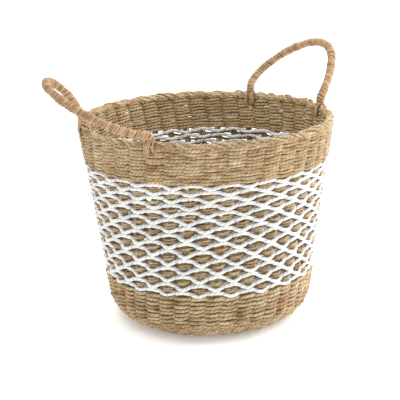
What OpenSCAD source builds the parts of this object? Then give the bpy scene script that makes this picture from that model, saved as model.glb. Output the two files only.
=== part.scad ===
// Round storage basket, twined from seagrass cord over upright stakes, with an open
// white net round its middle and two rope handles wrapped in raffia.
// The origin is the centre of the underside, +Z is up and +X points through the right handle.

/* [Basket] */
// Outer diameter at the rim
rim_d = 400; // [330:5:480]
// Outer diameter that the straight wall would have at the floor
base_d = 312; // [260:2:375]
// Height of the woven wall
body_h = 318; // [265:2:382]
// Bend radius of a stake between the base and the wall
corner_r = 43; // [36:1:52]

/* [Stakes] */
// Number of upright stakes, even so that the net can alternate from stake to stake
stake_count = 42; // [34:2:50]
// Thickness of a stake across the wall
stake_t = 4; // [3:0.2:5]
// Width of a stake along the wall
stake_w = 11; // [9:0.2:12]

/* [Weaving] */
// Seagrass cord of the base and the lower band
lower_cord_d = 5.4; // [4.5:0.1:6.5]
// Height of the lower band, measured along the wall from the foot
lower_band_h = 96; // [80:1:115]
// Seagrass cord of the upper band
upper_cord_d = 4.6; // [3.8:0.1:5.5]
// Height of the upper band, without the border
upper_band_h = 55; // [46:1:66]
// White cord of the net
white_cord_d = 4.2; // [3.5:0.1:5]
// White cords in the net
white_cords = 15; // [12:1:16]
// Natural cord between two white cords of the net
natural_cord_d = 3.8; // [3:0.1:4.6]
// How much wider the net is spaced at its foot than at its top
net_spread = 1.4; // [1:0.1:1.5]
// Cord of the border that closes the rim
border_cord_d = 6; // [5:0.5:7]

/* [Handles] */
// Distance between the two feet of a handle
handle_chord = 160; // [134:2:192]
// Core rope of a handle
core_d = 9; // [7.5:0.1:10.8]
// Thickness of the raffia wound round the core
wrap_t = 2; // [1.6:0.1:2.4]
// Width of the raffia lashing that ties a handle's foot over the rim
lashing_w = 12; // [10:1:14]
// How far a lashing reaches down the wall
lashing_l = 22; // [18:1:26]
// Thickness of a lashing
lashing_t = 1.6; // [1.2:0.1:2]

/* [Fits] */
// Space between neighbouring cords
cord_gap = 0.4; // [0.3:0.05:0.5]
// Space between a handle's core and its wrapping
core_gap = 0.3; // [0.2:0.05:0.4]
// Space under a handle's knot, so that the handle can swing over its lashing
hinge_gap = 1.2; // [0.8:0.1:2]

/* [Hidden] */
SEAGRASS = "tan";
SEAGRASS_DARK = "peru";
WHITE = "white";
RAFFIA = "burlywood";
ring_steps = 96;
corner_steps = 14;
rope_sides = 12;
curve_steps = 32;

// How far a round's cord stands out from the middle of the stakes.
function offset_of(cord_d) = stake_t / 2 + cord_gap + cord_d / 2;
function reach_of(cord_d) = offset_of(cord_d) + cord_d / 2;

// A stake's path in its own upright plane: along the base, round the corner, up the wall.
stake_foot_r = base_d / 2 - reach_of(lower_cord_d);
stake_rim_r = rim_d / 2 - reach_of(upper_cord_d);
wall_lean = atan((stake_rim_r - stake_foot_r) / body_h);
bend_angle = 90 - wall_lean;
foot_drop = 0.3;
stake_z = reach_of(lower_cord_d) + foot_drop;
corner_start_r = stake_foot_r + stake_z * tan(wall_lean) - corner_r * tan(bend_angle / 2);
corner_l = corner_r * bend_angle * PI / 180;
wall_start_r = corner_start_r + corner_r * sin(bend_angle);
wall_start_z = stake_z + corner_r * (1 - cos(bend_angle));
stake_top_z = body_h - border_cord_d - cord_gap;
wall_l = (stake_top_z - wall_start_z) / cos(wall_lean);
rim_r = wall_start_r + wall_l * sin(wall_lean);

// s is the distance along a stake from the start of the corner, negative in the base.
function slope_at(s) = s < 0 ? 0 : s < corner_l ? s / corner_r * 180 / PI : bend_angle;
function base_at(s) = [corner_start_r + s, stake_z];
function corner_at(s) =
    [corner_start_r + corner_r * sin(slope_at(s)), stake_z + corner_r * (1 - cos(slope_at(s)))];
function wall_at(s) =
    [wall_start_r + (s - corner_l) * sin(wall_lean), wall_start_z + (s - corner_l) * cos(wall_lean)];
function path_at(s) = s < 0 ? base_at(s) : s < corner_l ? corner_at(s) : wall_at(s);
function outward_at(s) = [sin(slope_at(s)), -cos(slope_at(s))];

// The dense bands: rounds lie cord_gap apart where the corner crowds them most.
corner_crowding = corner_r / (corner_r - offset_of(lower_cord_d));
lower_pitch = (lower_cord_d + cord_gap) * corner_crowding;
lower_rounds = floor(lower_band_h / lower_pitch);
upper_pitch = upper_cord_d + cord_gap;
upper_rounds = floor(upper_band_h / upper_pitch);
upper_last_s = corner_l + wall_l - upper_cord_d / 2;
upper_first_s = upper_last_s - (upper_rounds - 1) * upper_pitch;

// The net between them: white cords spaced more and more closely towards the top.
net_margin = 1.3;
net_start_s = lower_rounds * lower_pitch + (lower_cord_d + white_cord_d) / 2 + net_margin;
net_end_s = upper_first_s - (upper_cord_d + white_cord_d) / 2 - net_margin;
net_gaps = white_cords - 1;
net_pitch = (net_end_s - net_start_s) / net_gaps;
net_first_pitch = net_pitch * 2 * net_spread / (1 + net_spread);
net_pitch_step = (net_first_pitch - net_pitch) * 2 / (net_gaps - 1);
function net_at(i) = net_start_s + i * net_first_pitch - net_pitch_step * i * (i - 1) / 2;

// The base inside the stakes: spokes round a heart, as close as they fit.
side_gap = 1;
stake_inner_r = stake_count * (stake_w + side_gap) / (2 * PI);
spoke_count = stake_count / 2;
spoke_w = 5;
spoke_inner_r = spoke_count * (spoke_w + side_gap) / (2 * PI);
spoke_outer_r = stake_inner_r - side_gap;
base_rounds_count = floor((corner_start_r - spoke_inner_r) / lower_pitch) - 1;

// The handles: each turns about the line through its two knots, just above the rim.
rope_d = core_d + 2 * wrap_t;
foot_angle = asin(handle_chord / 2 / rim_r);
hinge_x = rim_r * cos(foot_angle);
lashing_z = body_h + cord_gap;
hinge_z = lashing_z + lashing_t + hinge_gap + rope_d / 2;
handle_scale = handle_chord / 160;
left_turn = 180;
// Control points of a handle between its knots, each [outward, along the chord, up].
right_curve = [[38, 119, 29], [174, -28, 148]] * handle_scale;
left_curve = [[58, 60, 2], [128, -139, 87], [15, -113, 95]] * handle_scale;
knots = [[0, handle_chord / 2, 0], [0, -handle_chord / 2, 0]];

// A Bezier curve of any degree: repeated blends of neighbouring points.
function bezier(points, t) =
    len(points) == 1 ? points[0] :
    bezier([for (i = [0 : len(points) - 2]) points[i] * (1 - t) + points[i + 1] * t], t);
function clear_of_knots(p) = min([for (knot = knots) norm(p - knot)]) > rope_d / 2 + core_gap;
function closer_at_the_ends(t) = (1 - cos(180 * t)) / 2;
function rope_path(curve) =
    let (points = [knots[0], each curve, knots[1]])
    [for (i = [0 : curve_steps])
        let (p = bezier(points, closer_at_the_ends(i / curve_steps)))
        if (clear_of_knots(p)) p];

// Rings of points square to a path, each a circle of radius r.
function unit(v) = v / norm(v);
function ring_of(path, i, r) =
    let (
        ahead = path[min(i + 1, len(path) - 1)],
        behind = path[max(i - 1, 0)],
        along = unit(ahead - behind),
        side = unit(cross(along, [1, 0, -1])),
        up = cross(side, along)
    )
    [for (k = [0 : rope_sides - 1])
        let (a = k * 360 / rope_sides)
        path[i] + r * (side * cos(a) + up * sin(a))];
function band(a, b) =
    [for (k = [0 : rope_sides - 1])
        let (next = (k + 1) % rope_sides)
        each [
            [a * rope_sides + k, b * rope_sides + k, b * rope_sides + next],
            [a * rope_sides + k, b * rope_sides + next, a * rope_sides + next]]];

module rope(path, r) {
    last = len(path) - 1;
    start_cap = [for (k = [0 : rope_sides - 1]) k];
    end_cap = [for (k = [rope_sides - 1 : -1 : 0]) last * rope_sides + k];
    polyhedron(
        points = [for (i = [0 : last]) each ring_of(path, i, r)],
        faces = [start_cap, end_cap, for (i = [0 : last - 1]) each band(i, i + 1)]);
}

// A tube is one closed belt of rings, out along its outside and back along its bore.
module tube(path, outer_r, inner_r) {
    last = len(path) - 1;
    rings = 2 * (last + 1);
    polyhedron(
        points = [
            for (i = [0 : last]) each ring_of(path, i, outer_r),
            for (i = [last : -1 : 0]) each ring_of(path, i, inner_r)],
        faces = [for (i = [0 : rings - 1]) each band(i, (i + 1) % rings)]);
}

module ring(s, distance, cord_d) {
    rotate_extrude($fn = ring_steps)
        translate(path_at(s) + outward_at(s) * distance)
            circle(d = cord_d, $fn = 24);
}

// One round of twining: a cord outside the stakes and a cord inside them.
module twined_round(s, cord_d) {
    ring(s, offset_of(cord_d), cord_d);
    ring(s, -offset_of(cord_d), cord_d);
}

module around(count) {
    for (i = [0 : count - 1])
        rotate([0, 0, i * 360 / count])
            children();
}

// A flat bundle that starts in the base, bends up at the corner and stands in the wall.
module stake() {
    base_l = corner_start_r - stake_inner_r;
    stations = [-base_l, for (i = [0 : corner_steps]) i * corner_l / corner_steps, corner_l + wall_l];
    last = len(stations) - 1;
    function side(s, distance) = path_at(s) + outward_at(s) * distance;
    rotate([90, 0, 0])
        linear_extrude(height = stake_w, center = true)
            polygon([
                for (i = [0 : last]) side(stations[i], stake_t / 2),
                for (i = [last : -1 : 0]) side(stations[i], -stake_t / 2)]);
}

// The knot of cords that the spokes start from, flat underneath and on the floor.
module base_heart() {
    color(SEAGRASS_DARK)
        cylinder(r = spoke_inner_r - side_gap, h = stake_z + stake_t / 2, $fn = ring_steps);
}

module base_spokes() {
    color(SEAGRASS)
        around(spoke_count)
            translate([spoke_inner_r, -spoke_w / 2, stake_z - stake_t / 2])
                cube([spoke_outer_r - spoke_inner_r, spoke_w, stake_t]);
}

module stakes() {
    color(SEAGRASS_DARK)
        around(stake_count)
            stake();
}

module base_rounds() {
    color(SEAGRASS)
        for (i = [1 : base_rounds_count])
            twined_round(-i * lower_pitch, lower_cord_d);
}

// The round that the basket stands on, pressed flat underneath.
module foot_round() {
    color(SEAGRASS)
        difference() {
            translate([0, 0, -2 * foot_drop])
                ring(0, offset_of(lower_cord_d), lower_cord_d);
            translate([0, 0, -lower_cord_d])
                cylinder(r = base_d, h = lower_cord_d, $fn = ring_steps);
        }
    color(SEAGRASS)
        ring(0, -offset_of(lower_cord_d), lower_cord_d);
}

module lower_round(i) {
    color(SEAGRASS)
        twined_round((i + 1) * lower_pitch, lower_cord_d);
}

module white_cord(i) {
    color(WHITE)
        twined_round(net_at(i), white_cord_d);
}

module natural_wefts() {
    color(SEAGRASS)
        for (i = [0 : net_gaps - 1])
            ring((net_at(i) + net_at(i + 1)) / 2, offset_of(natural_cord_d), natural_cord_d);
}

module upper_round(i) {
    color(SEAGRASS)
        twined_round(upper_first_s + i * upper_pitch, upper_cord_d);
}

module rim_border() {
    color(SEAGRASS)
        rotate_extrude($fn = ring_steps)
            translate([rim_r, body_h - border_cord_d / 2])
                circle(d = border_cord_d, $fn = 24);
}

module at_handle(turn) {
    rotate([0, 0, turn])
        translate([hinge_x, 0, hinge_z])
            children();
}

module handle_core(curve, turn) {
    color(SEAGRASS_DARK)
        at_handle(turn)
            rope(rope_path(curve), core_d / 2 - core_gap);
}

module handle_wrap(curve, turn) {
    color(RAFFIA)
        at_handle(turn)
            tube(rope_path(curve), rope_d / 2, core_d / 2);
}

module handle_knots(turn) {
    color(RAFFIA)
        at_handle(turn)
            for (knot = knots)
                translate(knot)
                    sphere(d = rope_d, $fn = 48);
}

// A strap of raffia in the radial plane: down inside the wall, over the rim, down outside.
module lashing() {
    half_t = (reach_of(upper_cord_d) + cord_gap) / cos(wall_lean);
    outer_half_t = half_t + lashing_t;
    low_z = lashing_z - lashing_l;
    top_z = lashing_z + lashing_t;
    function beside_wall(side, z) = [rim_r + (z - stake_top_z) * tan(wall_lean) + side, z];
    rotate([90, 0, 0])
        linear_extrude(height = lashing_w, center = true)
            polygon([
                beside_wall(-half_t, low_z),
                beside_wall(-half_t, lashing_z),
                beside_wall(half_t, lashing_z),
                beside_wall(half_t, low_z),
                beside_wall(outer_half_t, low_z),
                beside_wall(outer_half_t, top_z),
                beside_wall(-outer_half_t, top_z),
                beside_wall(-outer_half_t, low_z)]);
}

module handle_lashings(turn) {
    color(RAFFIA)
        for (side = [-1, 1])
            rotate([0, 0, turn + side * foot_angle])
                lashing();
}

function numbered(name, count) =
    [for (i = [1 : count]) str(name, i < 10 ? "_0" : "_", i)];
lower_names = numbered("lower_round", lower_rounds);
white_names = numbered("white_cord", white_cords);
upper_names = numbered("upper_round", upper_rounds);

base_heart();
base_spokes();
base_rounds();
stakes();
foot_round();
for (i = [0 : lower_rounds - 1])
    lower_round(i);
for (i = [0 : white_cords - 1])
    white_cord(i);
natural_wefts();
for (i = [0 : upper_rounds - 1])
    upper_round(i);
rim_border();
handle_core(right_curve, 0);  // right_handle_core
handle_wrap(right_curve, 0);  // right_handle_wrap
handle_knots(0);  // right_handle_knots
handle_lashings(0);  // right_handle_lashings
handle_core(left_curve, left_turn);  // left_handle_core
handle_wrap(left_curve, left_turn);  // left_handle_wrap
handle_knots(left_turn);  // left_handle_knots
handle_lashings(left_turn);  // left_handle_lashings
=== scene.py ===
import math

import bpy
import numpy as np
from mathutils import Matrix


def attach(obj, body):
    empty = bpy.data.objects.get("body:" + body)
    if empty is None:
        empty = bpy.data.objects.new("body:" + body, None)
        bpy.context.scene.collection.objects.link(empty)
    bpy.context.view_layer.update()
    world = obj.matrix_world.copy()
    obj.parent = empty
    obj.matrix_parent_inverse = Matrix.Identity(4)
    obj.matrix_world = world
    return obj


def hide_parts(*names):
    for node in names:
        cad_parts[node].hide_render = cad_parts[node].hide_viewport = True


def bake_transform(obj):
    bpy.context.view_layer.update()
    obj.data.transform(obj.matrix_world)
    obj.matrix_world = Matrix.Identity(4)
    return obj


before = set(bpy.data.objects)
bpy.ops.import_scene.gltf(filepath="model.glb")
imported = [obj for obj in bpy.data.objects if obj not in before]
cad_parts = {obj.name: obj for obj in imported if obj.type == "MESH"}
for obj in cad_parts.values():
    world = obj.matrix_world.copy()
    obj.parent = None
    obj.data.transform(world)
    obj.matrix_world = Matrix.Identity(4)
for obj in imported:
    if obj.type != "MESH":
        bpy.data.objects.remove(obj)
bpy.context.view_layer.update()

chance = np.random.default_rng(31)

# The basket's sizes, in metres and radians, the same as the frame's.
RIM_D = 0.400
BASE_D = 0.312
BODY_H = 0.318
CORNER_R = 0.043
STAKE_COUNT = 42
STAKE_T = 0.004
STAKE_W = 0.011
LOWER_CORD_D = 0.0054
LOWER_BAND_H = 0.096
UPPER_CORD_D = 0.0046
UPPER_BAND_H = 0.055
WHITE_CORD_D = 0.0042
NATURAL_CORD_D = 0.0038
BORDER_CORD_D = 0.006
HANDLE_CHORD = 0.160
CORE_D = 0.009
WRAP_T = 0.002
LASHING_L = 0.022
LASHING_T = 0.0016
CORD_GAP = 0.0004
HINGE_GAP = 0.0012
FOOT_DROP = 0.0003
SIDE_GAP = 0.001
SPOKE_W = 0.005

# What the woven cords add to the solid model.
FLUFF = 1.30  # how much thicker the soft white cord is than its solid
FLOOR_GAP = 0.0006  # how far the base's rounds stay above the foot
PRESSED_Z = 0.0001  # the height at which the floor presses a cord flat
WHITE_BAND = 0.54  # the share of a white cord between its middle and a touching cord's
BORDER_PER_STAKE = 3
TURN_W = 0.0036  # how far the raffia advances along the rope in a turn
FOOT_STRANDS = 11
FOOT_DEPTH = 0.011  # how far a handle's rope goes down into the rim
FIBRES = 240


def reach_of(cord_d):
    """The outside of a round's cord, from the middle of the stakes."""
    return STAKE_T / 2 + CORD_GAP + cord_d


STAKE_FOOT_R = BASE_D / 2 - reach_of(LOWER_CORD_D)
STAKE_RIM_R = RIM_D / 2 - reach_of(UPPER_CORD_D)
WALL_LEAN = math.atan((STAKE_RIM_R - STAKE_FOOT_R) / BODY_H)
BEND = math.pi / 2 - WALL_LEAN
STAKE_Z = reach_of(LOWER_CORD_D) + FOOT_DROP
CORNER_START_R = STAKE_FOOT_R + STAKE_Z * math.tan(WALL_LEAN) - CORNER_R * math.tan(BEND / 2)
CORNER_L = CORNER_R * BEND
WALL_START_Z = STAKE_Z + CORNER_R * (1 - math.cos(BEND))
STAKE_TOP_Z = BODY_H - BORDER_CORD_D - CORD_GAP
WALL_L = (STAKE_TOP_Z - WALL_START_Z) / math.cos(WALL_LEAN)
RIM_R = CORNER_START_R + CORNER_R * math.sin(BEND) + WALL_L * math.sin(WALL_LEAN)

# The two dense bands, and the heights of the diamonds' middles in the net, from the top down.
CORNER_CROWDING = CORNER_R / (CORNER_R - STAKE_T / 2 - CORD_GAP - LOWER_CORD_D / 2)
LOWER_PITCH = (LOWER_CORD_D + CORD_GAP) * CORNER_CROWDING
LOWER_ROUNDS = int(LOWER_BAND_H / LOWER_PITCH)
UPPER_PITCH = UPPER_CORD_D + CORD_GAP
UPPER_ROUNDS = int(UPPER_BAND_H / UPPER_PITCH + 1e-6)
UPPER_FIRST_S = CORNER_L + WALL_L - UPPER_CORD_D / 2 - (UPPER_ROUNDS - 1) * UPPER_PITCH
DIAMOND_Z = 0.001 * np.array([
    258.7, 248.8, 239.6, 228.9, 217.7, 206.8, 193.7, 182.2, 168.9, 156.3, 142.1, 128.6, 115.4, 101.5,
    88.2, 78.1])
WHITE_CORDS = len(DIAMOND_Z) - 1

# The stakes lean round the basket as they rise, because the weaver's pull turns them.
FIRST_STAKE = math.radians(-134.3)
STAKE_DRIFT = 0.24
DRIFT_RISE = 0.3

# The base.
STAKE_INNER_R = STAKE_COUNT * (STAKE_W + SIDE_GAP) / (2 * math.pi)
SPOKE_COUNT = STAKE_COUNT // 2
SPOKE_INNER_R = SPOKE_COUNT * (SPOKE_W + SIDE_GAP) / (2 * math.pi)
BASE_ROUNDS = int((CORNER_START_R - SPOKE_INNER_R) / LOWER_PITCH) - 1

# The handles.
ROPE_D = CORE_D + 2 * WRAP_T
FOOT_ANGLE = math.asin(HANDLE_CHORD / 2 / RIM_R)
HINGE_X = RIM_R * math.cos(FOOT_ANGLE)
HINGE_Z = BODY_H + CORD_GAP + LASHING_T + HINGE_GAP + ROPE_D / 2
RIGHT_CURVE = 0.001 * np.array([[38, 119, 29], [174, -28, 148]])
LEFT_CURVE = 0.001 * np.array([[58, 60, 2], [128, -139, 87], [15, -113, 95]])

SAMPLES_PER_STAKE = 12
WALL_CORD_SIDES = 8


# ---------------------------------------------------------------- shapes

def unit(v):
    """Vectors scaled to a length of one."""
    return v / np.maximum(np.linalg.norm(v, axis=-1, keepdims=True), 1e-12)


def stake_line(s):
    """Radius, height and slope of the stakes' middle at a distance s along them: level in the base,
    an arc of the corner's radius, then a straight leaning wall."""
    turn = np.clip(s / CORNER_R, 0, BEND)
    beyond = np.maximum(s - CORNER_L, 0)
    radius = CORNER_START_R + np.minimum(s, 0) + CORNER_R * np.sin(turn) + beyond * math.sin(WALL_LEAN)
    height = STAKE_Z + CORNER_R * (1 - np.cos(turn)) + beyond * math.cos(WALL_LEAN)
    return radius, height, turn


def at_height(z):
    """The distance along a stake at which the straight wall has the height z."""
    return CORNER_L + (z - WALL_START_Z) / math.cos(WALL_LEAN)


def drift(z):
    """How far round the stakes have leaned at the height z: it grows evenly with the height."""
    return STAKE_DRIFT * (z / DRIFT_RISE - 0.5)


def wall_point(azimuth, s, out):
    """The point at a distance out from the stakes' middle, square to the wall, and the way out there."""
    radius, height, turn = stake_line(s)
    around = np.stack([np.cos(azimuth), np.sin(azimuth)], -1)
    point = np.concatenate([
        around * (radius + out * np.sin(turn))[..., None],
        (height - out * np.cos(turn))[..., None]], -1)
    outward = np.concatenate([around * np.sin(turn)[..., None], -np.cos(turn)[..., None]], -1)
    return point, outward


def along_of(path, closed):
    """The unit direction of a path at each of its points, from its two neighbours."""
    if closed:
        return unit(np.roll(path, -1, 0) - np.roll(path, 1, 0))
    return unit(np.gradient(path, axis=0))


def run_of(path, closed):
    """The distance along a path from its start to each point, and back to the start if it is closed."""
    ends = np.vstack([path, path[:1]]) if closed else path
    steps = np.linalg.norm(np.diff(ends, axis=0), axis=1)
    return np.concatenate([[0], np.cumsum(steps)])


def cord(path, facing, thick, tall, sides, closed=False, tucked_shade=0.0):
    """A cord along a path: each ring is the ellipse thick/2 * cos(a) towards facing plus
    tall/2 * sin(a) across it, pressed flat where it would go into the floor. Its seam lies at the
    back. The last argument says, from 0 to 1, how deep it lies in the weave at each point, and so
    how much painted shade darkens it there."""
    along = along_of(path, closed)
    side = unit(facing - (facing * along).sum(-1, keepdims=True) * along)
    up = np.cross(along, side)
    a = math.pi + np.arange(sides) * 2 * math.pi / sides
    thick = np.broadcast_to(thick, len(path))[:, None, None] / 2
    tall = np.broadcast_to(tall, len(path))[:, None, None] / 2
    rings = (path[:, None] + thick * np.cos(a)[None, :, None] * side[:, None]
             + tall * np.sin(a)[None, :, None] * up[:, None])
    rings[..., 2] = np.maximum(rings[..., 2], PRESSED_Z)
    tucked_shade = np.broadcast_to(tucked_shade, len(path))
    return {"rings": rings, "run": run_of(path, closed), "closed": closed, "tucked_shade": tucked_shade}


def grid_faces(count, sides, closed):
    """Quads between neighbouring rings, as four corners each, with the ring and side of each corner."""
    bands = count if closed else count - 1
    i, j = np.meshgrid(np.arange(bands), np.arange(sides), indexing="ij")
    i = i.ravel()
    j = j.ravel()
    ring = np.stack([i, i, i + 1, i + 1], -1)
    side = np.stack([j, j + 1, j + 1, j], -1)
    return (ring % count) * sides + side % sides, ring, side


def woven_piece(name, cords, material, replaces=()):
    """One object from many cords. Its map runs along each cord in metres, from a place of its own,
    and once round the cord from 0 to 1."""
    points, faces, map_u, map_v, tucked_shade = [], [], [], [], []
    first = 0
    for one in cords:
        count, sides = one["rings"].shape[:2]
        start = chance.uniform(0, 40)
        quads, ring, side = grid_faces(count, sides, one["closed"])
        points.append(one["rings"].reshape(-1, 3))
        tucked_shade.append(np.repeat(one["tucked_shade"], sides))
        faces.extend((quads + first).tolist())
        map_u.append((one["run"][ring] + start).ravel())
        map_v.append((side / sides).ravel())
        if not one["closed"]:
            lid = np.arange(sides)
            for at, corners in ((0, lid[::-1]), (count - 1, lid)):
                faces.append((first + at * sides + corners).tolist())
                map_u.append(np.full(sides, one["run"][at] + start))
                map_v.append(corners / sides)
        first += count * sides
    mesh = bpy.data.meshes.new(name)
    mesh.from_pydata(np.concatenate(points), [], faces)
    mesh.shade_smooth()
    layer = mesh.uv_layers.new(name="along_the_cord")
    uv = np.stack([np.concatenate(map_u), np.concatenate(map_v)], -1)
    layer.data.foreach_set("uv", uv.ravel().astype(np.float32))
    # Each point's weight of painted shade, which the material reads to darken cords deep in the weave.
    stain = mesh.attributes.new("tucked_shade", "FLOAT", "POINT")
    stain.data.foreach_set("value", np.concatenate(tucked_shade).astype(np.float32))
    mesh.materials.append(material)
    piece = bpy.data.objects.new(name, mesh)
    bpy.context.scene.collection.objects.link(piece)
    if replaces:
        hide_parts(*replaces)
    return piece


# ---------------------------------------------------------------- weaving

def uneven(count, size):
    """A closed run of slow handmade unevenness: chance values at every stake, joined smoothly."""
    knots = chance.normal(0, size, STAKE_COUNT * 2)
    u = np.linspace(0, len(knots), count, endpoint=False)
    i = u.astype(int)
    t = (1 - np.cos(math.pi * (u - i))) / 2
    return knots[i % len(knots)] * (1 - t) + knots[(i + 1) % len(knots)] * t


def twined_strand(level, cord_d, lift, phase, stakes=STAKE_COUNT, stray=0.0005, samples=SAMPLES_PER_STAKE,
                  front=None, back=None, tall=1.0, dive=0.0, squeezed=0.9, snap=0.6,
                  stain=0.5):
    """A cord that passes in front of one stake and behind the next. With u counting stakes and
    c = cos(pi * (u + phase)) - dive, it lies sign(c) * |c|^snap of its reach out from the stakes,
    and lift * sin(pi * (u + phase)) up the wall from level(u), so that a pair of them turn about
    each other. It is squeezed where the pair cross."""
    laps = 1 if stakes % 2 == 0 else 2
    count = stakes * laps * samples
    u = np.arange(count) / samples
    c = np.cos(math.pi * (u + phase)) - dive
    front = STAKE_T / 2 + cord_d / 2 if front is None else front
    back = front if back is None else back
    bow = np.sign(c) * np.abs(c) ** snap
    out = np.where(c > 0, front, back) * bow + uneven(count, stray * 0.7)
    s = level(u) + lift * np.sin(math.pi * (u + phase)) + uneven(count, stray)
    height = stake_line(s)[1]
    azimuth = FIRST_STAKE + u * 2 * math.pi / stakes + drift(height)
    path, outward = wall_point(azimuth, s, out)
    squeeze = (squeezed + (1 - squeezed) * np.abs(c) ** 0.5) * (1 + uneven(count, 0.06))
    # How deep the strand lies in the weave, behind the stakes or where the pair cross; scaled by its
    # strength (half unless the caller sets it), this is how much painted shade darkens the cord there.
    deep = np.clip((0.25 - c if dive > 0 else 0.45 - np.abs(c)) / 0.45, 0, 1)
    return cord(path, outward, cord_d * squeeze, cord_d * squeeze * tall, WALL_CORD_SIDES, closed=True,
                tucked_shade=deep * stain)


def twined_pair(level, cord_d, lift, **more):
    """The two strands of one round, half a turn apart."""
    if more.get("stakes", STAKE_COUNT) % 2:
        return [twined_strand(level, cord_d, lift, 0, **more)]
    return [twined_strand(level, cord_d, lift, phase, **more) for phase in (0, 1)]


def dense_round(s, cord_d, **more):
    """A level round of a dense band, at a distance s along the stakes. It lies in front of the stakes
    a little longer than behind them, which hides the crossings from outside."""
    reach = {"front": STAKE_T / 2 + cord_d / 2, "back": (STAKE_T / 2 + cord_d / 2) * 0.84, **more}
    return twined_pair(lambda u: np.full(len(u), s), cord_d, cord_d * 0.14, dive=-0.13, snap=0.5, **reach)


def net_round(j):
    """A white round: it swings between the diamonds above and below it, partly on a cosine and mostly
    in straight lines, and touches the round above at one stake and the round below at the next."""
    band = WHITE_CORD_D * WHITE_BAND
    high = at_height(DIAMOND_Z[j] - band)
    low = at_height(DIAMOND_Z[j + 1] + band)

    def level(u):
        swing = np.cos(math.pi * (u + j + 1))
        straight = np.arcsin(swing * 0.97) / math.asin(0.97)
        return (high + low) / 2 + (high - low) / 2 * (0.3 * swing + 0.7 * straight)

    # A light painted shade where the white cord lies deep in the weave.
    return twined_pair(level, WHITE_CORD_D * FLUFF, WHITE_CORD_D * 0.12, stray=0.0003, tall=1.06,
                       front=STAKE_T / 2 + WHITE_CORD_D / 2, squeezed=0.95, stain=0.25)


def natural_weft(j):
    """Two seagrass cords side by side, which slant over the stake in each diamond and dive behind
    the stakes where the white rounds meet."""
    s = at_height(DIAMOND_Z[j + 1])

    def strand(side):
        def level(u):
            turn = math.pi * (u + j + 1)
            return s + NATURAL_CORD_D * (side * (0.22 + 0.17 * np.cos(turn)) + 0.35 * np.sin(turn))
        # Full painted shade where these cords dive behind the stakes.
        return twined_strand(level, NATURAL_CORD_D, 0, j + 1, stray=0.0006, samples=10, dive=0.5, snap=0.9,
                             tall=0.8, front=(STAKE_T / 2 + NATURAL_CORD_D) * 1.25, back=0.0030,
                             squeezed=0.75, stain=1.0)

    return [strand(side) for side in (-1, 1)]


def bundle(count, first_s, last_s, cords, cord_w, cord_t, steps):
    """Flat bundles of cords side by side, each along the stakes' line from first_s to last_s."""
    s = np.linspace(first_s, last_s, steps)
    radius, height = stake_line(s)[:2]
    made = []
    for k in range(count):
        for n in range(cords):
            aside = (n - (cords - 1) / 2) * cord_w * 0.96
            wander = np.interp(s, np.linspace(first_s, last_s, 9), chance.normal(0, 0.0003, 9))
            azimuth = FIRST_STAKE + k * 2 * math.pi / count + drift(height) + (aside + wander) / radius
            path, outward = wall_point(azimuth, s, np.full(steps, chance.normal(0, 0.0001)))
            made.append(cord(path, outward, cord_t, cord_w, 6))
    return made


def border_cords():
    """The stakes' ends, folded over the rim: each cord climbs inside the wall, crosses over the top
    in a rounded hump and slants down outside, over the next two stakes."""
    steps = 22
    t = np.linspace(0, 1, steps)
    made = []
    step = 2 * math.pi / (STAKE_COUNT * BORDER_PER_STAKE)
    for k in range(STAKE_COUNT * BORDER_PER_STAKE):
        start = FIRST_STAKE + drift(BODY_H) + (k + chance.uniform(-0.45, 0.45)) * step
        span = 2 * math.pi / STAKE_COUNT * chance.uniform(0.9, 1.9)
        over = np.clip((t - 0.12) / 0.6, 0, 1)
        across = -np.cos(math.pi * over) * chance.uniform(0.0036, 0.0048)
        top = chance.uniform(0.0080, 0.0125)
        cord_w = chance.uniform(0.0028, 0.0040)
        rise = np.sin(math.pi * np.clip(t * 0.92 + 0.02, 0, 1)) ** 0.7 * top - 0.0105
        radius = RIM_R + across
        azimuth = start + span * t
        path = np.stack([radius * np.cos(azimuth), radius * np.sin(azimuth), BODY_H - 0.0005 + rise], -1)
        middle = np.stack([
            RIM_R * np.cos(azimuth),
            RIM_R * np.sin(azimuth),
            np.full(steps, BODY_H - BORDER_CORD_D)], -1)
        made.append(cord(path, unit(path - middle), cord_w * 0.9, cord_w, 8))
    return made


def border_roll():
    """Two plain cords under the folded ends, which fill the border's inside."""
    u = np.linspace(0, 2 * math.pi, 240, endpoint=False)
    made = []
    for across, down in ((-0.0026, 0.0052), (0.0026, 0.0052), (0, 0.0028)):
        radius = RIM_R + across
        path = np.stack([radius * np.cos(u), radius * np.sin(u), np.full(len(u), BODY_H - down)], -1)
        outward = np.stack([np.cos(u), np.sin(u), np.zeros(len(u))], -1)
        made.append(cord(path, outward, 0.0052, 0.0052, 8, closed=True))
    return made


def heart_coil(z, turns, cord_d):
    """A flat coil: its radius shrinks evenly with the angle, from the first spokes to the middle."""
    a = np.linspace(0, turns * 2 * math.pi, int(turns * 28))
    radius = (SPOKE_INNER_R + 0.0005) * (1 - a / a[-1]) + cord_d * 0.3
    path = np.stack([radius * np.cos(a), radius * np.sin(a), np.full(len(a), z)], -1)
    return cord(path, np.tile([0.0, 0.0, 1.0], (len(a), 1)), cord_d, cord_d, 8)


# ---------------------------------------------------------------- handles

def bezier(points, t):
    """A Bezier curve of any degree: repeated blends of neighbouring points."""
    points = [np.broadcast_to(p, (len(t), 3)) for p in points]
    while len(points) > 1:
        points = [a + (b - a) * t[:, None] for a, b in zip(points, points[1:])]
    return points[0]


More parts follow.
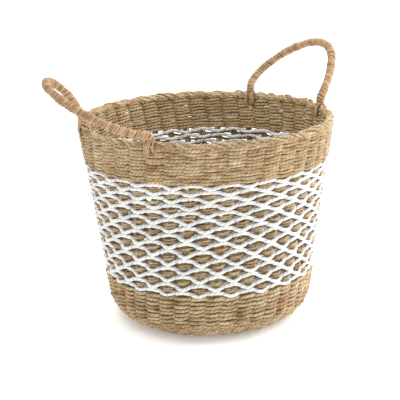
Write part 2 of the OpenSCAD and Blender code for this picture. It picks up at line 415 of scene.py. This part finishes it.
def rope_line(curve, turned):
    """The middle of a handle's rope, one point a millimetre: up out of the rim, along the Bezier
    curve between its knots, and down into the rim, smoothed where these meet."""
    half = HANDLE_CHORD / 2
    knots = np.array([[0, half, 0], [0, -half, 0]])
    t = (1 - np.cos(np.linspace(0, math.pi, 400))) / 2
    loop = bezier([knots[0], *curve, knots[1]], t)
    down = np.array([0, 0, -FOOT_DEPTH])
    line = np.vstack([knots[0] + down, knots[0] + down / 2, loop, knots[1] + down / 2, knots[1] + down])
    run = run_of(line, False)
    even = np.arange(0, run[-1], 0.001)
    line = np.stack([np.interp(even, run, line[:, n]) for n in range(3)], -1)
    reach = 8
    padded = np.vstack([np.repeat(line[:1], reach, 0), line, np.repeat(line[-1:], reach, 0)])
    window = np.hanning(2 * reach + 3)[1:-1]
    window /= window.sum()
    line = np.stack([np.convolve(padded[:, n], window, "valid") for n in range(3)], -1)
    line += np.array([HINGE_X, 0, HINGE_Z])
    return line * np.array([-1, -1, 1]) if turned else line


def rope_sides(line):
    """Two directions square to the rope, which turn with it."""
    along = along_of(line, False)
    side = unit(np.cross(along, np.array([1.0, 0, -1.0])))
    return along, side, np.cross(side, along)


def wound_raffia(line):
    """A strand wound round the rope: it goes once round for each TURN_W along it, aslant as a sine
    of its angle, a little proud where one turn lies on the last, and unevenly as a hand winds it."""
    run = run_of(line, False)
    turns = run[-1] / TURN_W
    per_turn = 18
    a = np.linspace(0, 2 * math.pi * turns, int(turns * per_turn))
    which = a / (2 * math.pi)
    knots = np.arange(int(turns) + 3)
    slip = np.interp(which, knots, chance.normal(0, TURN_W * 0.16, len(knots)))
    proud = np.interp(which, knots, chance.normal(0, 0.0004, len(knots)))
    aslant = 0.0022 * np.sin(a)
    at = np.clip(a / a[-1] * run[-1] + slip + aslant, 0, run[-1])
    along, side, up = rope_sides(line)
    pick = [np.stack([np.interp(at, run, v[:, n]) for n in range(3)], -1) for v in (line, along, side, up)]
    middle, along, side, up = pick
    away = unit(side * np.cos(a)[:, None] + up * np.sin(a)[:, None])
    path = middle + away * (ROPE_D / 2 - 0.0014 + proud)[:, None]
    width = TURN_W * (1.02 + np.interp(which, knots, chance.normal(0, 0.14, len(knots))))
    tilt = unit(away + along * 0.25)
    return cord(path, tilt, 0.0030, width, 6)


def foot_strands(turned, side):
    """Raffia strands that tie a handle's foot: each goes down inside the wall, over the rim beside
    or across the rope, and down outside, fanned out at both ends."""
    middle = (math.pi if turned else 0) + side * FOOT_ANGLE
    made = []
    wall_top = at_height(BODY_H - 0.002)
    inner = -(STAKE_T / 2 + UPPER_CORD_D + 0.0012)
    outer = STAKE_T / 2 + UPPER_CORD_D + 0.0012
    for n in range(FOOT_STRANDS):
        low_in = wall_top - chance.uniform(0.6, 1.0) * LASHING_L
        low_out = wall_top - chance.uniform(0.35, 0.75) * LASHING_L
        fan_in = chance.uniform(-0.0085, 0.0085)
        fan_out = chance.uniform(-0.0085, 0.0085)
        top = (n - FOOT_STRANDS // 2) * 0.0013
        hump = 0.0045 + 0.0060 * math.exp(-(top / 0.005) ** 2)
        keys = np.array([
            [fan_in * 1.05, low_in, inner * 0.75],
            [fan_in, low_in + 0.004, inner],
            [fan_in * 0.5 + top * 0.5, wall_top, inner],
            [top, wall_top + hump, 0],
            [fan_out * 0.5 + top * 0.5, wall_top, outer],
            [fan_out, low_out + 0.004, outer],
            [fan_out * 1.05, low_out, outer * 0.75]])
        t = np.linspace(0, len(keys) - 1, 40)
        spread, s, out = (np.interp(t, np.arange(len(keys)), keys[:, m]) for m in range(3))
        window = np.hanning(9)[1:-1]
        window /= window.sum()
        smooth = [np.convolve(np.pad(v, 3, mode="edge"), window, "valid") for v in (spread, s, out)]
        spread, s, out = smooth
        path = wall_point(middle + spread / RIM_R, s, out)[0]
        below = np.full(len(t), wall_top - BORDER_CORD_D)
        centre = wall_point(middle + spread / RIM_R, below, np.zeros(len(t)))[0]
        made.append(cord(path, unit(path - centre), 0.0011, 0.0026, 6))
    return made


def stray_fibres():
    """Short bristles that have worked loose: each leaves the wall at a slant and curls back."""
    made = []
    t = np.linspace(0, 1, 6)
    bands = ((CORNER_L * 0.7, at_height(0.076)), (UPPER_FIRST_S, CORNER_L + WALL_L))
    for n in range(FIBRES):
        low, high = bands[n % 3 == 0]
        s0 = chance.uniform(low, high)
        length = chance.uniform(0.003, 0.009)
        slant = chance.uniform(-0.6, 0.6)
        face = 1 if n % 4 else -1
        rise = chance.uniform(0.15, 0.6)
        out = face * (0.0062 + length * rise * np.sin(t * 2.2))
        s = s0 + slant * length * t
        azimuth = chance.uniform(0, 2 * math.pi) + length * t / 0.18 * chance.choice([-1, 1])
        path, outward = wall_point(azimuth, s, out)
        made.append(cord(path, outward, 0.00035 * (1.1 - t), 0.00045 * (1.1 - t), 3))
    return made


# ---------------------------------------------------------------- materials

class Finish:
    """A material and short ways to add its nodes and join them."""

    def __init__(self, name, roughness, sheen=0.0):
        self.material = bpy.data.materials.new(name)
        self.material.use_nodes = True
        self.tree = self.material.node_tree
        self.shader = self.tree.nodes["Principled BSDF"]
        self.shader.inputs["Roughness"].default_value = roughness
        self.shader.inputs["Specular IOR Level"].default_value = 0.25
        self.shader.inputs["Sheen Weight"].default_value = sheen
        self.shader.inputs["Sheen Roughness"].default_value = 0.6

    def join(self, source, target):
        """Link an output to an input."""
        self.tree.links.new(source, target)

    def maths(self, operation, *values):
        """One step of arithmetic on numbers or outputs."""
        node = self.tree.nodes.new("ShaderNodeMath")
        node.operation = operation
        for socket, value in zip(node.inputs, values):
            if isinstance(value, (int, float)):
                socket.default_value = value
            else:
                self.join(value, socket)
        return node.outputs[0]

    def cord_map(self):
        """The distance along the cord and the share of the way round it."""
        node = self.tree.nodes.new("ShaderNodeUVMap")
        node.uv_map = "along_the_cord"
        split = self.tree.nodes.new("ShaderNodeSeparateXYZ")
        self.join(node.outputs[0], split.inputs[0])
        return split.outputs[0], split.outputs[1]

    def noise(self, x, y, detail=3.0, rough=0.6, scale=1.0):
        """Noise on a map that x and y span."""
        where = self.tree.nodes.new("ShaderNodeCombineXYZ")
        self.join(x, where.inputs[0])
        self.join(y, where.inputs[1])
        return self.noise_at(where.outputs[0], scale, detail, rough)

    def noise_at(self, where, scale, detail=3.0, rough=0.6):
        """Noise at a place in space."""
        node = self.tree.nodes.new("ShaderNodeTexNoise")
        node.inputs["Scale"].default_value = scale
        node.inputs["Detail"].default_value = detail
        node.inputs["Roughness"].default_value = rough
        self.join(where, node.inputs["Vector"])
        return node.outputs[0]

    def place(self):
        """The place on the object, in metres."""
        return self.tree.nodes.new("ShaderNodeTexCoord").outputs["Object"]

    def ramp(self, value, stops):
        """A colour looked up between stops, each a value and its colour."""
        node = self.tree.nodes.new("ShaderNodeValToRGB")
        ramp = node.color_ramp
        while len(ramp.elements) < len(stops):
            ramp.elements.new(0.5)
        for element, (position, colour) in zip(ramp.elements, stops):
            element.position = position
            element.color = (*colour, 1)
        self.join(value, node.inputs[0])
        return node.outputs[0]

    def mix(self, share, a, b, blend="MIX"):
        """Two colours mixed by a share of b."""
        node = self.tree.nodes.new("ShaderNodeMix")
        node.data_type = "RGBA"
        node.blend_type = blend
        for socket, value in ((node.inputs[0], share), (node.inputs[6], a), (node.inputs[7], b)):
            if isinstance(value, float):
                socket.default_value = value
            elif isinstance(value, tuple):
                socket.default_value = (*value, 1)
            else:
                self.join(value, socket)
        return node.outputs[2]

    def finish(self, colour, height, depth, strength=0.8):
        """Put the colour and a relief of this depth on the shader."""
        bump = self.tree.nodes.new("ShaderNodeBump")
        bump.inputs["Distance"].default_value = depth
        bump.inputs["Strength"].default_value = strength
        self.join(height, bump.inputs["Height"])
        self.join(bump.outputs[0], self.shader.inputs["Normal"])
        self.join(colour, self.shader.inputs["Base Color"])
        return self.material


def twisted_cord(name, lay, stops, groove_shade, streak=0.55, patch=26.0, roughness=0.75, sheen=0.1, plies=2,
                 russet=0.0):
    """Twisted cord. Its plies run round it once every lay; painted shade darkens each join between them,
    fine fibres follow the plies, and the colour wanders from fibre to fibre and from place to place,
    with russet the share of its rust-brown and olive stretches. Painted shade also darkens it where it
    lies deep in the weave."""
    look = Finish(name, roughness, sheen)
    along, around = look.cord_map()
    turns = look.maths("ADD", look.maths("DIVIDE", along, lay), around)
    ply = look.maths("ABSOLUTE", look.maths("SINE", look.maths("MULTIPLY", turns, math.pi * plies)))
    fibre = look.noise(look.maths("MULTIPLY", along, 90.0), look.maths("MULTIPLY", turns, 16.0))
    length = look.noise(look.maths("MULTIPLY", along, 42.0), look.maths("MULTIPLY", around, 0.8), 2.0)
    patches = look.noise_at(look.place(), patch, 2.0)
    tone = look.maths("ADD", look.maths("MULTIPLY", fibre, streak),
                      look.maths("ADD", look.maths("MULTIPLY", length, 0.75),
                                 look.maths("MULTIPLY", patches, 0.45)))
    colour = look.ramp(look.maths("MULTIPLY_ADD", tone, 1.8, -1.07), stops)
    if russet:
        warm = look.noise_at(look.place(), 75.0, 2.0)
        cool = look.noise(look.maths("MULTIPLY", along, 30.0), around, 1.0)
        warm = look.ramp(warm, [(0.5, (0.0, 0.0, 0.0)), (0.72, (1.0, 1.0, 1.0))])
        cool = look.ramp(cool, [(0.52, (0.0, 0.0, 0.0)), (0.74, (1.0, 1.0, 1.0))])
        colour = look.mix(look.maths("MULTIPLY", warm, russet), colour, (0.50, 0.27, 0.10))
        colour = look.mix(look.maths("MULTIPLY", cool, russet * 0.9), colour, (0.50, 0.47, 0.31))
    # Painted shade in the hollows between plies: there the colour is multiplied by the darker colour passed
    # in for them.
    shade = look.maths("POWER", ply, 0.55)
    dark = look.mix(shade, groove_shade, (1.0, 1.0, 1.0))
    colour = look.mix(1.0, colour, dark, "MULTIPLY")
    # Painted shade: the colour goes up to 85% of the way to a dark brown where the cord lies deep in the
    # weave.
    tucked_shade = look.tree.nodes.new("ShaderNodeAttribute")
    tucked_shade.attribute_name = "tucked_shade"
    colour = look.mix(look.maths("MULTIPLY", tucked_shade.outputs["Fac"], 0.85), colour, (0.10, 0.06, 0.03))
    height = look.maths("ADD", look.maths("MULTIPLY", shade, 0.7), look.maths("MULTIPLY", fibre, 0.5))
    return look.finish(colour, height, 0.0011)


def raffia_finish():
    """Flat raffia: long fine fibres along the strand, a tone of its own for each stretch, and painted shade
    where turns meet.
    """
    look = Finish("wound_raffia", 0.5, 0.05)
    along, around = look.cord_map()
    fibre = look.noise(look.maths("MULTIPLY", along, 55.0), look.maths("MULTIPLY", around, 22.0), 4.0)
    stretch = look.noise(look.maths("MULTIPLY", along, 38.0), look.maths("MULTIPLY", around, 0.6), 2.0)
    tone = look.maths("ADD", look.maths("MULTIPLY", fibre, 0.55), look.maths("MULTIPLY", stretch, 0.9))
    # Painted shade: away from the outermost line of each turn, the colour goes halfway to dark brown.
    edge = look.maths("ABSOLUTE", look.maths("SUBTRACT", around, 0.5))
    edge = look.ramp(edge, [(0.09, (0.0, 0.0, 0.0)), (0.2, (1.0, 1.0, 1.0))])
    colour = look.ramp(look.maths("MULTIPLY_ADD", tone, 1.7, -0.76), [
        (0.0, (0.15, 0.075, 0.03)), (0.3, (0.36, 0.215, 0.105)), (0.6, (0.53, 0.355, 0.20)),
        (0.85, (0.66, 0.49, 0.32)), (1.0, (0.80, 0.67, 0.49))])
    colour = look.mix(look.maths("MULTIPLY", edge, 0.5), colour, (0.20, 0.10, 0.045))
    return look.finish(colour, fibre, 0.0006)


SEAGRASS_STOPS = [
    (0.0, (0.11, 0.055, 0.02)), (0.27, (0.32, 0.20, 0.09)), (0.52, (0.50, 0.365, 0.20)),
    (0.74, (0.60, 0.48, 0.30)), (1.0, (0.84, 0.74, 0.54))]
STAKE_STOPS = [
    (0.0, (0.09, 0.05, 0.022)), (0.35, (0.27, 0.18, 0.085)), (0.7, (0.43, 0.32, 0.18)),
    (1.0, (0.60, 0.50, 0.33))]
WHITE_STOPS = [(0.0, (0.70, 0.69, 0.65)), (0.4, (0.82, 0.82, 0.79)), (1.0, (0.93, 0.93, 0.91))]
CORE_STOPS = [(0.0, (0.25, 0.15, 0.07)), (1.0, (0.55, 0.38, 0.22))]

# The fourth value of each is the colour of the painted shade between the plies.
seagrass = twisted_cord("seagrass_cord", 0.013, SEAGRASS_STOPS, (0.55, 0.45, 0.33), russet=0.6)
stake_cord = twisted_cord("stake_cord", 0.009, STAKE_STOPS, (0.45, 0.36, 0.26))
white_cord = twisted_cord("white_cord", 0.014, WHITE_STOPS, (0.72, 0.72, 0.72), streak=0.4, roughness=0.85,
                          sheen=0.2)
core_rope = twisted_cord("core_rope", 0.016, CORE_STOPS, (0.4, 0.3, 0.2))
raffia = raffia_finish()

# ---------------------------------------------------------------- the basket's pieces

def basket_piece(name, cords, material, slot, *replaces):
    """A woven piece that stays with the basket."""
    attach(woven_piece(name, cords, material, replaces), "basket")


def numbered(name, i):
    """A piece's name in a row of pieces."""
    return f"{name}_{i:02d}"


basket_piece("coiled_heart", [heart_coil(0.0032, 3.6, 0.006), heart_coil(0.0110, 3.8, 0.0055)],
             seagrass, "seagrass", "base_heart")
basket_piece("bundled_spokes", bundle(SPOKE_COUNT, SPOKE_INNER_R - CORNER_START_R - 0.003,
                                      STAKE_INNER_R - SIDE_GAP - CORNER_START_R, 2, 0.0027, 0.0038, 14),
             stake_cord, "stake_cord", "base_spokes")
basket_piece("bundled_stakes", bundle(STAKE_COUNT, STAKE_INNER_R - CORNER_START_R, CORNER_L + WALL_L,
                                      4, STAKE_W / 4, STAKE_T, 56),
             stake_cord, "stake_cord", "stakes")

base_cords = []
for i in range(1, BASE_ROUNDS + 2):
    s = -i * LOWER_PITCH
    on_stakes = CORNER_START_R + s > STAKE_INNER_R
    base_cords += dense_round(s, LOWER_CORD_D, stakes=STAKE_COUNT if on_stakes else SPOKE_COUNT,
                              samples=8 if on_stakes else 9, stray=0.0002,
                              front=STAKE_Z - LOWER_CORD_D / 2 - FLOOR_GAP)
basket_piece("twined_base", base_cords, seagrass, "seagrass", "base_rounds")
basket_piece("twined_foot", dense_round(0.0, LOWER_CORD_D, front=STAKE_Z - LOWER_CORD_D / 2, stray=0.0001),
             seagrass, "seagrass", "foot_round")
for i in range(LOWER_ROUNDS):
    loose = 0.0002 + 0.0003 * min(1, i / 4)
    # A light painted shade where the lower rounds lie deep between the stakes.
    lower = dense_round((i + 1) * LOWER_PITCH, LOWER_CORD_D, tall=0.98, stain=0.25, stray=loose)
    basket_piece(numbered("twined_lower", i + 1), lower, seagrass, "seagrass",
                 numbered("lower_round", i + 1))
for j in range(WHITE_CORDS):
    basket_piece(numbered("twined_white", WHITE_CORDS - j), net_round(j), white_cord, "white_cord",
                 numbered("white_cord", WHITE_CORDS - j))
basket_piece("natural_cords_of_the_net", [c for j in range(WHITE_CORDS - 1) for c in natural_weft(j)],
             seagrass, "seagrass", "natural_wefts")
for i in range(UPPER_ROUNDS):
    # A faint painted shade where the upper rounds lie deep between the stakes.
    upper = dense_round(UPPER_FIRST_S + i * UPPER_PITCH, UPPER_CORD_D, tall=1.06, stray=0.00045, stain=0.15)
    basket_piece(numbered("twined_upper", i + 1), upper, seagrass, "seagrass",
                 numbered("upper_round", i + 1))
basket_piece("folded_border", border_roll() + border_cords(), seagrass, "seagrass", "rim_border")
basket_piece("loose_fibres", stray_fibres(), seagrass, "seagrass")


def handle(word, curve, turned):
    """A handle in two pieces, its core and its winding, and the strands that tie its feet, which
    stay on the rim."""
    line = rope_line(curve, turned)
    side = rope_sides(line)[1]
    thinned = slice(None, None, 4)
    filling_d = ROPE_D - 0.0022
    filling = cord(line[thinned], side[thinned], filling_d, filling_d, 12)
    core = woven_piece(word + "_core_rope", [filling], core_rope, (word + "_handle_core",))
    winding = woven_piece(word + "_raffia_winding", [wound_raffia(line)], raffia,
                          (word + "_handle_wrap", word + "_handle_knots"))
    for piece in (core, winding):
        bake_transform(piece)
    ties = [c for s in (-1, 1) for c in foot_strands(turned, s)]
    tied = woven_piece(word + "_foot_ties", ties, raffia, (word + "_handle_lashings",))
    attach(tied, "basket")


handle("right", RIGHT_CURVE, False)
handle("left", LEFT_CURVE, True)

# ---------------------------------------------------------------- floor, light and camera

def floor():
    """A pale round floor, a flat disc of rings and spokes."""
    rings, spokes = 6, 48
    a = np.arange(spokes) * 2 * math.pi / spokes
    r = 9.0 * (np.arange(1, rings + 1) / rings) ** 1.5
    points = np.zeros((rings * spokes + 1, 3))
    points[1:, 0] = (r[:, None] * np.cos(a)).ravel()
    points[1:, 1] = (r[:, None] * np.sin(a)).ravel()
    k = np.arange(spokes)
    inner = np.stack([np.zeros_like(k), 1 + k, 1 + (k + 1) % spokes], -1).tolist()
    quads = grid_faces(rings, spokes, False)[0]
    outer = (quads[:, ::-1] + 1).tolist()
    mesh = bpy.data.meshes.new("floor")
    mesh.from_pydata(points, [], inner + outer)
    look = Finish("pale_floor", 0.9)
    look.shader.inputs["Base Color"].default_value = (0.94, 0.94, 0.94, 1)
    look.shader.inputs["Emission Color"].default_value = (1, 1, 1, 1)
    look.shader.inputs["Emission Strength"].default_value = 0.22
    mesh.materials.append(look.material)
    piece = bpy.data.objects.new("floor", mesh)
    bpy.context.scene.collection.objects.link(piece)


def soft_light(name, place, size, power, colour=(1.0, 1.0, 1.0)):
    """A large soft square light aimed at the basket's middle."""
    lamp = bpy.data.lights.new(name, "AREA")
    lamp.size = size
    lamp.energy = power
    lamp.color = colour
    holder = bpy.data.objects.new(name, lamp)
    bpy.context.scene.collection.objects.link(holder)
    holder.location = place
    aim = np.array([0, 0, 0.16]) - np.array(place)
    holder.rotation_euler = (math.atan2(math.hypot(aim[0], aim[1]), -aim[2]), 0,
                             math.atan2(aim[1], aim[0]) - math.pi / 2)


def camera():
    """A long lens a little above the rim, turned so that the right handle stands at the back."""
    view = bpy.data.cameras.new("camera")
    view.sensor_width = 36.0
    view.lens = 103.5
    view.clip_start = 0.05
    holder = bpy.data.objects.new("camera", view)
    bpy.context.scene.collection.objects.link(holder)
    pitch, heading, roll = math.radians(16.2), math.radians(-41.11), math.radians(1.66)
    turn = (Matrix.Rotation(heading, 3, "Z") @ Matrix.Rotation(math.pi / 2 - pitch, 3, "X")
            @ Matrix.Rotation(-roll, 3, "Z"))
    holder.rotation_euler = turn.to_euler()
    holder.location = (-1.1596, -1.3107, 0.6897)
    bpy.context.scene.camera = holder


floor()
camera()
soft_light("window_right", (1.5, -1.0, 1.1), 1.4, 34)
soft_light("ceiling", (-0.2, 0.5, 2.4), 2.2, 34)
world = bpy.data.worlds.new("studio")
world.use_nodes = True
world.node_tree.nodes["Background"].inputs[0].default_value = (1, 1, 1, 1)
world.node_tree.nodes["Background"].inputs[1].default_value = 0.95
bpy.context.scene.world = world
bpy.context.scene.view_settings.view_transform = "Standard"
